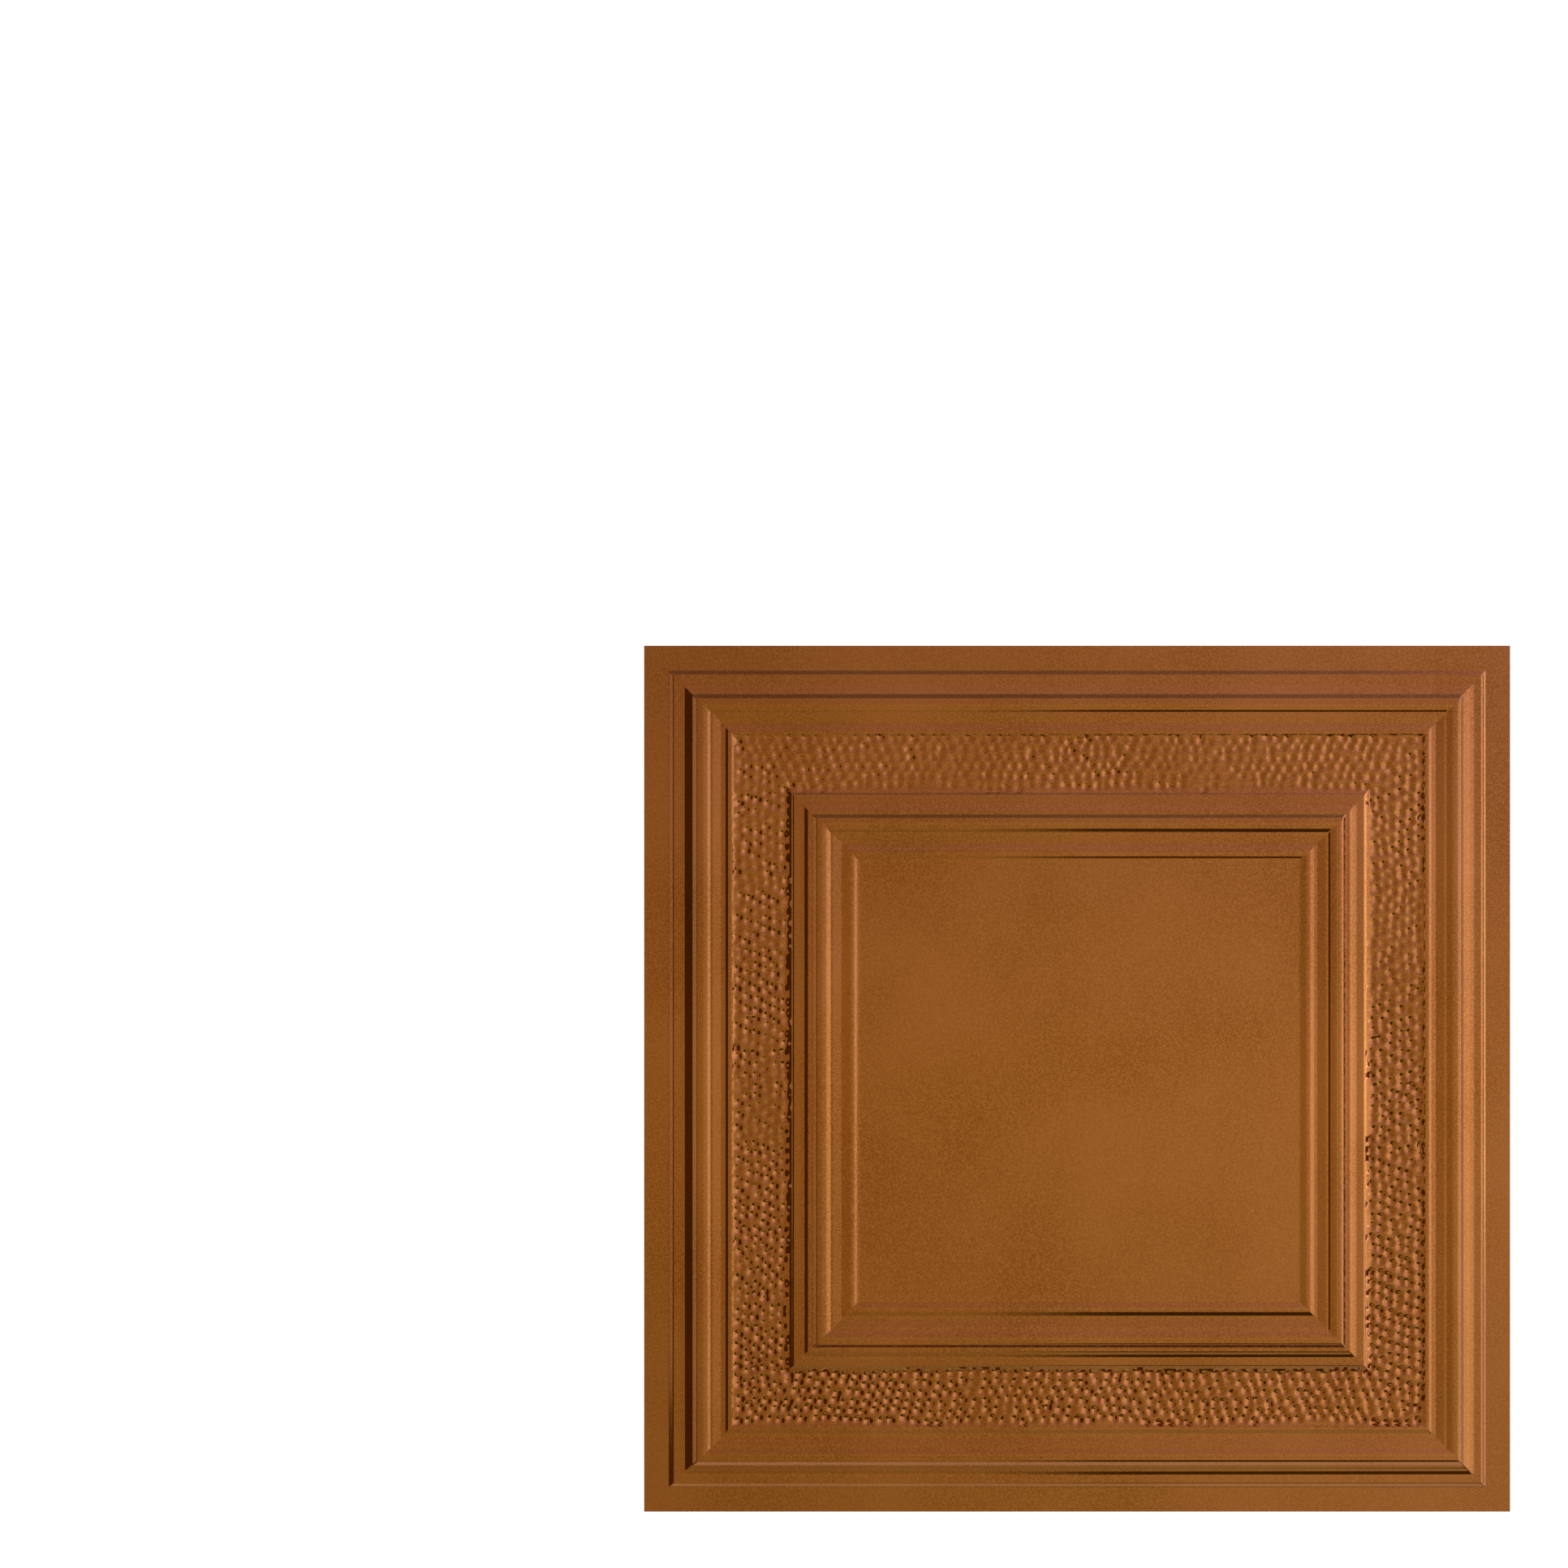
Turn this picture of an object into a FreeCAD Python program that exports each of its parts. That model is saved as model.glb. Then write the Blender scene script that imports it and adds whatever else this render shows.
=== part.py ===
import FreeCAD, Part
import math
import os
import Sketcher

# Every size that can be set by itself: alias, value, what it is.
# A run is measured inwards from the tile's edge, a rise or fall is measured up or down.
SIZES = [
    ("tile_side", 603.25, "side of the square tile, for a nominal 24 inch grid opening"),
    ("sheet", 0.3, "thickness of the tin-plated sheet"),
    ("flange_width", 16.9, "flat edge that lies on the ceiling grid"),
    ("band_width", 34.8, "flat band between the two mouldings, left for the hammer marks"),
    ("outer_toe_run", 0.5, "soft bend where the outer moulding leaves the flange"),
    ("outer_toe_rise", 0.15, "height of that bend"),
    ("outer_riser_run", 3.3, "steep first riser"),
    ("outer_riser_rise", 2.55, "height of the first riser"),
    ("outer_fascia_run", 3.6, "flat above the first riser"),
    ("outer_cove_run", 6.9, "hollow that rises from the fascia"),
    ("outer_cove_rise", 1.9, "height of the hollow"),
    ("outer_step_run", 0.8, "small step over the cove"),
    ("outer_step_rise", 0.3, "height of the small step"),
    ("outer_ledge_run", 2.0, "sloping ledge below the round"),
    ("outer_ledge_rise", 0.93, "height of the sloping ledge"),
    ("outer_wall_run", 3.1, "steep side of the round"),
    ("outer_wall_rise", 2.75, "height of the steep side"),
    ("outer_crown_run", 3.5, "rounded shoulder up to the crest of the round"),
    ("outer_crown_rise", 0.55, "height of the rounded shoulder"),
    ("outer_crest_run", 0.5, "level crest of the round"),
    ("outer_round_run", 5.3, "long inner side of the round"),
    ("outer_round_fall", 1.35, "fall of the inner side"),
    ("outer_notch_run", 1.7, "flat at the foot of the round"),
    ("outer_dish_run", 5.6, "gentle fall into the dish"),
    ("outer_dish_fall", 0.95, "depth of the dish"),
    ("outer_lift_run", 3.2, "gentle rise out of the dish"),
    ("outer_lift_rise", 0.45, "height of that rise"),
    ("outer_lip_run", 1.8, "riser below the bead"),
    ("outer_lip_rise", 0.95, "height of that riser"),
    ("outer_bead_run", 1.5, "rounded top of the bead"),
    ("outer_bead_rise", 0.1, "height of the rounded top"),
    ("outer_rim_run", 0.4, "level top of the bead"),
    ("outer_shoulder_run", 1.35, "curve over the bead's inner side"),
    ("outer_shoulder_fall", 0.34, "fall of that curve"),
    ("outer_foot_run", 1.35, "curve that ends level in the hammered band"),
    ("outer_foot_fall", 0.34, "fall of that curve"),
    ("inner_toe_run", 4.4, "soft rise where the inner moulding leaves the band"),
    ("inner_toe_rise", 1.1, "height of that rise"),
    ("inner_riser_run", 1.7, "steep first riser"),
    ("inner_riser_rise", 1.4, "height of the first riser"),
    ("inner_fascia_run", 3.6, "flat above the first riser"),
    ("inner_cove_run", 6.1, "hollow that rises from the fascia"),
    ("inner_cove_rise", 1.75, "height of the hollow"),
    ("inner_step_run", 0.8, "small step over the cove"),
    ("inner_step_rise", 0.2, "height of the small step"),
    ("inner_ledge_run", 2.6, "almost level ledge below the round"),
    ("inner_ledge_rise", 0.15, "height of the ledge"),
    ("inner_wall_run", 2.7, "steep side of the round"),
    ("inner_wall_rise", 2.35, "height of the steep side"),
    ("inner_crown_run", 3.0, "rounded shoulder up to the crest of the round"),
    ("inner_crown_rise", 0.42, "height of the rounded shoulder"),
    ("inner_crest_run", 0.5, "level crest of the round"),
    ("inner_round_run", 6.2, "long inner side of the round"),
    ("inner_round_fall", 1.85, "fall of the inner side"),
    ("inner_notch_run", 1.7, "flat at the foot of the round"),
    ("inner_dish_run", 5.7, "gentle fall into the dish"),
    ("inner_dish_fall", 1.0, "depth of the dish"),
    ("inner_lift_run", 2.3, "gentle rise out of the dish"),
    ("inner_lift_rise", 0.3, "height of that rise"),
    ("inner_lip_run", 2.7, "riser below the bead"),
    ("inner_lip_rise", 0.92, "height of that riser"),
    ("inner_bead_run", 1.6, "rounded top of the bead"),
    ("inner_bead_rise", 0.15, "height of the rounded top"),
    ("inner_rim_run", 0.4, "level top of the bead"),
    ("inner_shoulder_run", 2.9, "curve over the bead's inner side"),
    ("inner_shoulder_fall", 0.62, "fall of that curve"),
    ("inner_foot_run", 2.9, "curve that ends level in the centre panel"),
    ("inner_foot_fall", 0.62, "fall of that curve"),
]
VALUE = {name: value for name, value, meaning in SIZES}

# A stretch of the section is: its name, whether it is a rise, a fall or level, and how it is drawn.
# "line" is straight. "out of level" is an arc that starts level at its outer end, and "into level"
# is an arc that ends level at its inner end.
MOULDING = [
    ("toe", "rise", "out of level"),
    ("riser", "rise", "line"),
    ("fascia", "level", "line"),
    ("cove", "rise", "out of level"),
    ("step", "rise", "line"),
    ("ledge", "rise", "line"),
    ("wall", "rise", "line"),
    ("crown", "rise", "into level"),
    ("crest", "level", "line"),
    ("round", "fall", "out of level"),
    ("notch", "level", "line"),
    ("dish", "fall", "line"),
    ("lift", "rise", "line"),
    ("lip", "rise", "line"),
    ("bead", "rise", "into level"),
    ("rim", "level", "line"),
    ("shoulder", "fall", "out of level"),
    ("foot", "fall", "into level"),
]


def make_sheet_of_sizes(doc):
    """The spreadsheet that drives the whole tile."""
    cells = doc.addObject("Spreadsheet::Sheet", "sizes")
    for row, (name, value, meaning) in enumerate(SIZES, start=1):
        cells.set(f"A{row}", meaning)
        cells.set(f"B{row}", str(value))
        cells.setAlias(f"B{row}", name)
    return cells


def stretch(run_alias, height_alias=None, change="level", drawn="line"):
    """One stretch of the section: its run and its rise, a formula for each, and how it is drawn."""
    if change == "level":
        return VALUE[run_alias], 0, f"sizes.{run_alias}", None, drawn
    rise = VALUE[height_alias] if change == "rise" else -VALUE[height_alias]
    return VALUE[run_alias], rise, f"sizes.{run_alias}", f"sizes.{height_alias}", drawn


def moulding(side):
    """The stretches of the outer or the inner moulding."""
    return [stretch(f"{side}_{name}_run", f"{side}_{name}_{change}", change, drawn)
            for name, change, drawn in MOULDING]


def section_stretches():
    """The section of the face, from the tile's edge inwards to the centre panel."""
    return [stretch("flange_width"), *moulding("outer"), stretch("band_width"), *moulding("inner")]


def arc_between(start, end, level_at):
    """Arc from start to end that is level at one of the two, and which sketch point each one is."""
    other = end if level_at is start else start
    run = other.x - level_at.x
    rise = other.y - level_at.y
    radius = (run * run + rise * rise) / (2 * abs(rise))
    centre = FreeCAD.Vector(level_at.x, level_at.y + math.copysign(radius, rise), 0)
    from_angle = math.atan2(start.y - centre.y, start.x - centre.x)
    to_angle = math.atan2(end.y - centre.y, end.x - centre.x)
    turn = math.remainder(to_angle - from_angle, 2 * math.pi)
    circle = Part.Circle(centre, FreeCAD.Vector(0, 0, 1), radius)
    if turn > 0:
        return Part.ArcOfCircle(circle, from_angle, from_angle + turn), 1, 2
    return Part.ArcOfCircle(circle, from_angle + turn, from_angle), 2, 1


def bind(sketch, constraint, formula):
    """Add one constraint whose value follows the spreadsheet."""
    index = sketch.addConstraint(constraint)
    sketch.setExpression(f"Constraints[{index}]", formula)


def draw_side_of_sheet(sketch, start):
    """Face or back of the sheet in section, from the tile's edge in to the centre line. Returns its
    outer end and its inner end, each as (geometry, point)."""
    point = start
    first = joined_to = None
    for run, rise, run_formula, rise_formula, drawn in section_stretches():
        far = FreeCAD.Vector(point.x - run, point.y + rise, 0)
        if drawn == "line":
            shape, near_end, far_end = Part.LineSegment(point, far), 1, 2
        else:
            level_at = point if drawn == "out of level" else far
            shape, near_end, far_end = arc_between(point, far, level_at)
        index = sketch.addGeometry(shape, False)
        if joined_to is None:
            first = (index, near_end)
        else:
            sketch.addConstraint(Sketcher.Constraint("Coincident", *joined_to, index, near_end))
        bind(sketch, Sketcher.Constraint("DistanceX", index, far_end, index, near_end, run), run_formula)
        if rise_formula is None:
            sketch.addConstraint(Sketcher.Constraint("Horizontal", index))
        else:
            low, high = (near_end, far_end) if rise > 0 else (far_end, near_end)
            bind(sketch, Sketcher.Constraint("DistanceY", index, low, index, high, abs(rise)), rise_formula)
        if drawn != "line":
            level_end = near_end if drawn == "out of level" else far_end
            sketch.addConstraint(Sketcher.Constraint("Vertical", index, 3, index, level_end))
        point = far
        joined_to = (index, far_end)
    panel = sketch.addGeometry(Part.LineSegment(point, FreeCAD.Vector(0, point.y, 0)), False)
    sketch.addConstraint(Sketcher.Constraint("Coincident", *joined_to, panel, 1))
    sketch.addConstraint(Sketcher.Constraint("Horizontal", panel))
    sketch.addConstraint(Sketcher.Constraint("PointOnObject", panel, 2, -2))
    return first, (panel, 2)


def draw_section(doc):
    """Sketch of half the sheet in section. The press stretches a sheet that is held at its edge, so
    it keeps its thickness as measured straight up, and is thinner square to a steep wall."""
    sketch = doc.addObject("Sketcher::SketchObject", "sheet_section")
    sketch.Placement = FreeCAD.Placement(FreeCAD.Vector(), FreeCAD.Rotation(FreeCAD.Vector(1, 0, 0), 90))
    half = VALUE["tile_side"] / 2
    sheet = VALUE["sheet"]
    top = FreeCAD.Vector(half, sheet, 0)
    bottom = FreeCAD.Vector(half, 0, 0)
    face_edge, face_middle = draw_side_of_sheet(sketch, top)
    back_edge, back_middle = draw_side_of_sheet(sketch, bottom)
    cut_edge = sketch.addGeometry(Part.LineSegment(bottom, top), False)
    sketch.addConstraint(Sketcher.Constraint("Coincident", cut_edge, 1, *back_edge))
    sketch.addConstraint(Sketcher.Constraint("Coincident", cut_edge, 2, *face_edge))
    sketch.addConstraint(Sketcher.Constraint("Vertical", cut_edge))
    sketch.addConstraint(Sketcher.Constraint("PointOnObject", cut_edge, 1, -1))
    bind(sketch, Sketcher.Constraint("DistanceX", -1, 1, cut_edge, 1, half), "sizes.tile_side / 2")
    bind(sketch, Sketcher.Constraint("DistanceY", cut_edge, 1, cut_edge, 2, sheet), "sizes.sheet")
    middle = sketch.addGeometry(Part.LineSegment(FreeCAD.Vector(0, 0, 0), FreeCAD.Vector(0, sheet, 0)), False)
    sketch.addConstraint(Sketcher.Constraint("Coincident", middle, 1, *back_middle))
    sketch.addConstraint(Sketcher.Constraint("Coincident", middle, 2, *face_middle))
    return sketch


def make_side_strip(doc, section):
    """The section run along one whole side of the tile."""
    strip = doc.addObject("Part::Extrusion", "side_strip")
    strip.Base = section
    strip.Dir = FreeCAD.Vector(0, 1, 0)
    strip.DirMode = "Custom"
    strip.Symmetric = True
    strip.Solid = True
    strip.setExpression("LengthFwd", "sizes.tile_side")
    return strip


def make_mitre(doc):
    """The quarter of the square between two diagonals, tall enough to hold the whole moulding."""
    outline = doc.addObject("Sketcher::SketchObject", "quarter_outline")
    half = VALUE["tile_side"] / 2
    centre = FreeCAD.Vector()
    near_corner = FreeCAD.Vector(half, -half, 0)
    far_corner = FreeCAD.Vector(half, half, 0)
    outline.addGeometry(Part.LineSegment(centre, near_corner), False)
    outline.addGeometry(Part.LineSegment(near_corner, far_corner), False)
    outline.addGeometry(Part.LineSegment(far_corner, centre), False)
    outline.addConstraint(Sketcher.Constraint("Coincident", 0, 1, -1, 1))
    outline.addConstraint(Sketcher.Constraint("Coincident", 0, 2, 1, 1))
    outline.addConstraint(Sketcher.Constraint("Coincident", 1, 2, 2, 1))
    outline.addConstraint(Sketcher.Constraint("Coincident", 2, 2, 0, 1))
    outline.addConstraint(Sketcher.Constraint("Symmetric", 1, 1, 1, 2, -1))
    bind(outline, Sketcher.Constraint("DistanceY", 1, 1, 1, 2, 2 * half), "sizes.tile_side")
    bind(outline, Sketcher.Constraint("DistanceX", -1, 1, 1, 1, half), "sizes.tile_side / 2")
    wedge = doc.addObject("Part::Extrusion", "mitre_wedge")
    wedge.Base = outline
    wedge.Dir = FreeCAD.Vector(0, 0, 1)
    wedge.DirMode = "Custom"
    wedge.Symmetric = True
    wedge.Solid = True
    wedge.setExpression("LengthFwd", "sizes.tile_side")
    return wedge


def make_pressed_sheet(doc, strip, wedge):
    """One mitred quarter, mirrored over both diagonals and joined into a single sheet."""
    quarter = doc.addObject("Part::Common", "quarter")
    quarter.Base = strip
    quarter.Tool = wedge
    next_quarter = doc.addObject("Part::Mirroring", "next_quarter")
    next_quarter.Source = quarter
    next_quarter.Normal = FreeCAD.Vector(1, -1, 0)
    half = doc.addObject("Part::Fuse", "half")
    half.Base = quarter
    half.Tool = next_quarter
    other_half = doc.addObject("Part::Mirroring", "other_half")
    other_half.Source = half
    other_half.Normal = FreeCAD.Vector(1, 1, 0)
    whole = doc.addObject("Part::Fuse", "whole")
    whole.Base = half
    whole.Tool = other_half
    whole.Refine = True
    whole.Label = "pressed_sheet"
    whole.Placement = FreeCAD.Placement()
    return whole


def check_and_write(doc, nodes):
    """Stop on any failed object or bad solid, then write each node to its own file."""
    for item in doc.Objects:
        if "Invalid" in item.State or "Error" in item.State:
            raise RuntimeError(f"{item.Name} did not compute")
    for node in nodes:
        shape = node.Shape
        if shape.isNull() or not shape.isValid() or len(shape.Solids) != 1:
            raise RuntimeError(f"{node.Label} is not one valid solid")
    os.makedirs("parts", exist_ok=True)
    for node in nodes:
        node.Shape.exportStep(f"parts/{node.Label}.step")


def main():
    doc = FreeCAD.newDocument("ceiling_tile")
    make_sheet_of_sizes(doc)
    doc.recompute()
    side_strip = make_side_strip(doc, draw_section(doc))
    pressed_sheet = make_pressed_sheet(doc, side_strip, make_mitre(doc))
    doc.recompute()
    check_and_write(doc, [pressed_sheet])


main()
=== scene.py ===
import math
from functools import partial
import bpy
import numpy
from bpy.props import FloatProperty, FloatVectorProperty, IntProperty, PointerProperty
from bpy.types import Operator, Panel, PropertyGroup
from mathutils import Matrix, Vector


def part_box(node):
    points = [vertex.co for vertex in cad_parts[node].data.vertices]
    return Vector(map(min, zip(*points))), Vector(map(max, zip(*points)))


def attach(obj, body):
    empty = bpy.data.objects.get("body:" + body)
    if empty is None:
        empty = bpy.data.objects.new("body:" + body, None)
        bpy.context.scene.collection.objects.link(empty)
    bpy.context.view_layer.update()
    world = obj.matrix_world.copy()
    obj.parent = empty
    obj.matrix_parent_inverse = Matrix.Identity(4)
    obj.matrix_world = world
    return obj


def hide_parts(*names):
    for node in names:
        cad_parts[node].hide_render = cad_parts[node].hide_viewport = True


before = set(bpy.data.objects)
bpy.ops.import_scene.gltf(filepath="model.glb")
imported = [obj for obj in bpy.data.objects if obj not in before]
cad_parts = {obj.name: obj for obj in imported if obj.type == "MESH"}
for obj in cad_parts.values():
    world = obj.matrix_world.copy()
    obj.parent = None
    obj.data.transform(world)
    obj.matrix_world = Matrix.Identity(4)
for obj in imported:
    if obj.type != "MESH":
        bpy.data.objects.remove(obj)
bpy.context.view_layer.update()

bl_info = {
    "name": "Pressed Ceiling Tile",
    "version": (1, 0, 0),
    "blender": (4, 5, 0),
    "location": "3D View > Sidebar > Tile",
    "description": "Dresses a pressed metal ceiling tile: its skin, hammer marks, copper finish and stage",
    "category": "Object",
}

SHEET_NODE = "pressed_sheet"
SHEET_LOW, SHEET_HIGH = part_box(SHEET_NODE)
MM = 0.001

# Sizes of the unevenness in the hammered band: how the rows of marks wander, how the depth changes
# from one mark to the next and from one part of the band to another, and the metal between the marks.
DRIFT_SIZE_MM = 38.0
MARK_SIZE_MM = 11.0
REGION_SIZE_MM = 120.0
ROLLING_SIZE_MM = 9.090909
# The noises stay near their middle, so their sum is stretched to reach nearly from -1 to 1.
NOISE_STRETCH = 3.0
# The deepest marks, as a multiple of the plain depth.
MOST_DEPTH = 1.5
# How much lower the back lies under the marks, so that its coarser mesh stays clear of the face.
BACK_LOWER_MM = 0.65
# How far the marks take to fade out at each edge of the band, and how far they reach over the inner
# moulding's toe, as a share of its run.
FADE_MM = 2.0
MARKS_OVER_TOE = 0.8
# How far the fine mesh reaches over the outer moulding's shoulder and over the inner moulding's
# fascia, as a share of their runs.
FINE_OVER_SHOULDER = 0.3
FINE_OVER_FASCIA = 0.15
# Angle from point to point along an arc of the section, on the face and on the back.
FACE_ARC_STEP = math.radians(5)
BACK_ARC_STEP = math.radians(9)

# The light from each direction over the tile, as linear red, green and blue. Each row starts with
# the direction's lean from overhead in degrees: to the right in the first table, and to the back of
# the tile in the second. The two are multiplied.
LIGHT_ACROSS = [
    (-90.0, (0.95, 1.0, 1.3)),
    (-71.1, (0.9, 0.9, 1.2)),
    (-70.02, (0.17, 0.11, 0.03)),
    (-39.6, (0.17, 0.11, 0.03)),
    (-37.44, (0.85, 0.75, 0.5)),
    (-21.6, (0.8, 0.72, 0.65)),
    (-3.6, (0.84, 0.8, 0.76)),
    (7.2, (1.0, 1.02, 1.15)),
    (16.92, (1.13, 1.16, 1.55)),
    (23.4, (1.05, 1.1, 1.75)),
    (30.96, (1.33, 1.45, 2.5)),
    (38.7, (1.8, 2.05, 4.0)),
    (55.8, (1.95, 2.1, 3.5)),
    (77.4, (2.3, 2.6, 4.7)),
    (80.1, (4.0, 4.9, 6.6)),
    (90.0, (4.0, 4.9, 6.6)),
]
LIGHT_TO_THE_BACK = [
    (-90.0, (0.85, 1.0, 1.05)),
    (-72.0, (0.74, 0.84, 0.85)),
    (-54.0, (0.7, 0.74, 0.66)),
    (-45.0, (0.8, 0.82, 0.78)),
    (-36.0, (0.92, 0.94, 0.9)),
    (-18.0, (0.85, 0.87, 0.86)),
    (-7.2, (0.98, 0.98, 0.97)),
    (3.6, (0.86, 0.83, 1.06)),
    (18.0, (0.85, 0.8, 1.15)),
    (45.0, (0.9, 0.84, 1.45)),
    (69.3, (0.82, 0.74, 1.4)),
    (71.1, (0.5, 0.5, 0.9)),
    (82.8, (0.42, 0.42, 0.66)),
    (90.0, (0.42, 0.42, 0.8)),
]
# A dark screen, at the same leans: where it stands across, where it stands from front to back, and
# how much of the red, green and blue it takes away.
SCREEN_ACROSS = [(-90.0, 0.0), (4.5, 0.0), (7.56, 1.0), (45.0, 1.0), (54.0, 0.0)]
SCREEN_TO_THE_BACK = [(-90.0, 0.0), (-59.4, 0.0), (-55.8, 1.0), (-39.06, 1.0), (-35.46, 0.0)]
SCREEN_TAKES = (0.85, 0.88, 0.95)
# The strength of the whole tent.
TENT_LEVEL = 1.05
# The paper's own light, and its share where the camera or a reflection sees the paper.
PAPER_GLOW = 1.15
PAPER_GLOW_SHARE = 0.8

# The nodes that are used most: sums of numbers and of vectors, a vector from its parts and its parts
# from a vector, and a value carried from one range to another.
MATHS = "ShaderNodeMath"
VECTORS = "ShaderNodeVectorMath"
VECTOR = "ShaderNodeCombineXYZ"
PARTS = "ShaderNodeSeparateXYZ"
RANGE = "ShaderNodeMapRange"
# The numbers of the Mix node's sockets for colours.
MIX_SHARE, MIX_FIRST, MIX_SECOND = 0, 6, 7
MIX_RESULT = 2

# The section of a moulding, from its outer edge inwards. Each stretch has a name, says whether it
# rises, falls or is level, and how it is drawn: "line" is straight, "out of level" is an arc that
# starts level and "into level" is an arc that ends level. Then run and height in millimetres, of the
# outer moulding and of the inner one.
MOULDING = [
    ("toe", "rise", "out of level", (0.5, 0.15), (4.4, 1.1)),
    ("riser", "rise", "line", (3.3, 2.55), (1.7, 1.4)),
    ("fascia", "level", "line", (3.6, 0.0), (3.6, 0.0)),
    ("cove", "rise", "out of level", (6.9, 1.9), (6.1, 1.75)),
    ("step", "rise", "line", (0.8, 0.3), (0.8, 0.2)),
    ("ledge", "rise", "line", (2.0, 0.93), (2.6, 0.15)),
    ("wall", "rise", "line", (3.1, 2.75), (2.7, 2.35)),
    ("crown", "rise", "into level", (3.5, 0.55), (3.0, 0.42)),
    ("crest", "level", "line", (0.5, 0.0), (0.5, 0.0)),
    ("round", "fall", "out of level", (5.3, 1.35), (6.2, 1.85)),
    ("notch", "level", "line", (1.7, 0.0), (1.7, 0.0)),
    ("dish", "fall", "line", (5.6, 0.95), (5.7, 1.0)),
    ("lift", "rise", "line", (3.2, 0.45), (2.3, 0.3)),
    ("lip", "rise", "line", (1.8, 0.95), (2.7, 0.92)),
    ("bead", "rise", "into level", (1.5, 0.1), (1.6, 0.15)),
    ("rim", "level", "line", (0.4, 0.0), (0.4, 0.0)),
    ("shoulder", "fall", "out of level", (1.35, 0.34), (2.9, 0.62)),
    ("foot", "fall", "into level", (1.35, 0.34), (2.9, 0.62)),
]


def linear(hex_colour):
    """An sRGB hex colour as linear red, green and blue."""
    values = [int(hex_colour[i:i + 2], 16) / 255 for i in (0, 2, 4)]
    return [v / 12.92 if v <= 0.04045 else ((v + 0.055) / 1.055) ** 2.4 for v in values]


def length(name, description, default_mm):
    """A property that holds one length, given in millimetres and kept in metres."""
    return FloatProperty(name=name, description=description, default=default_mm * MM, min=0.0,
                         unit="LENGTH", precision=5)


def colour(name, description, hex_colour):
    """A property that holds one colour."""
    return FloatVectorProperty(name=name, description=description, default=linear(hex_colour),
                               subtype="COLOR", min=0.0, max=4.0)


def fraction(name, description, default):
    """A property that holds a share, from 0 to 1."""
    return FloatProperty(name=name, description=description, default=default, min=0.0, max=1.0,
                         subtype="FACTOR")


def picture_place(name, description, default):
    """A property that holds a place in the picture, in pixels from its left or top."""
    return FloatProperty(name=name, description=description, default=default)


def moulding_group(class_name, column, where):
    """A property group with the run and the height of each stretch of one moulding."""
    fields = {}
    for row in MOULDING:
        name, change = row[0], row[1]
        run, height = row[3 + column]
        fields[f"{name}_run"] = length(f"{name} run", f"Width of the {where} moulding's {name}", run)
        if change != "level":
            about = f"Height of the {where} moulding's {name}"
            fields[f"{name}_height"] = length(f"{name} height", about, height)
    return type(class_name, (PropertyGroup,), {"__annotations__": fields})


OuterMoulding = moulding_group("OuterMoulding", 0, "outer")
InnerMoulding = moulding_group("InnerMoulding", 1, "inner")


class SheetSizes(PropertyGroup):
    """Sizes of the pressed sheet that the mouldings don't give."""
    thickness: length("Sheet thickness", "Thickness of the tin-plated sheet", 0.3)
    flange_width: length("Flange width", "Width of the flat edge that lies on the grid", 16.9)
    band_width: length("Band width", "Width of the hammered band", 34.8)
    proud_radius: length("Proud fold radius", "Radius that the press leaves on a fold that stands out", 2.2)
    hollow_radius: length("Hollow fold radius", "Radius that the press leaves in a hollow fold", 0.6)
    mitre_softness: length("Mitre softness", "How far each side of a mitre its edge is rounded", 1.0)
    face_step: length("Face step", "Mesh size in the hammered band, on the face", 1.1)
    back_step: length("Back step", "Mesh size in the hammered band, on the back", 2.3)


class HammerSizes(PropertyGroup):
    """The hammer marks in the band."""
    rows: IntProperty(name="Rows", description="Rows of marks across the band", default=6, min=1)
    pitch: length("Pitch", "Distance from mark to mark along a row", 7.6)
    outer_margin: length("Outer margin", "From the band's outer edge to the middle of its first row", 2.6)
    inner_margin: length("Inner margin", "From the middle of the last row to the band's inner edge", 0.8)
    pit_radius: length("Pit radius", "Radius of a mark at its rim", 4.1)
    pit_depth: length("Pit depth", "Depth of a mark at its middle", 1.48)
    depth_spread: fraction("Depth spread", "How unequal the marks' depths are", 0.5)
    depth_slant: fraction("Depth slant", "How much deeper than the middle ones the front marks are", 0.3)
    tilt: fraction("Tilt", "How much steeper a mark is on its right than on its left", 0.4)
    scatter: length("Scatter", "How far a mark strays from its place", 1.4)
    drift: length("Drift", "How far the rows of marks wander from straight lines", 6.0)
    rolling: length("Rolling", "Unevenness of the metal between the marks", 0.12)
    seed: IntProperty(name="Seed", description="Seed of the marks' scatter", default=7)


class FinishColours(PropertyGroup):
    """Colours of the antique copper finish."""
    copper: colour("Copper", "Main colour of the coating", "90531B")
    shade: colour("Shade", "Colour of the darker clouds in the coating", "82470D")
    grain: colour("Grain", "Colour of the lightest flakes", "9C6024")


class StageSizes(PropertyGroup):
    """Where the tile stands in the picture, and the floor and lights round it."""
    picture_side: picture_place("Picture side", "Right and bottom edge of the picture", 1932.0)
    tile_left: picture_place("Tile left", "Left edge of the tile", 793.66)
    tile_right: picture_place("Tile right", "Right edge of the tile", 1860.45)
    tile_top: picture_place("Tile top", "Top edge of the tile", 795.62)
    tile_bottom: picture_place("Tile bottom", "Bottom edge of the tile", 1862.38)
    camera_height: length("Camera height", "Height of the camera above the floor", 1600.0)
    floor_side: length("Floor side", "Side of the square floor", 30000.0)
    tent_radius: length("Tent radius", "Radius of the light tent over the tile", 12000.0)


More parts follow.
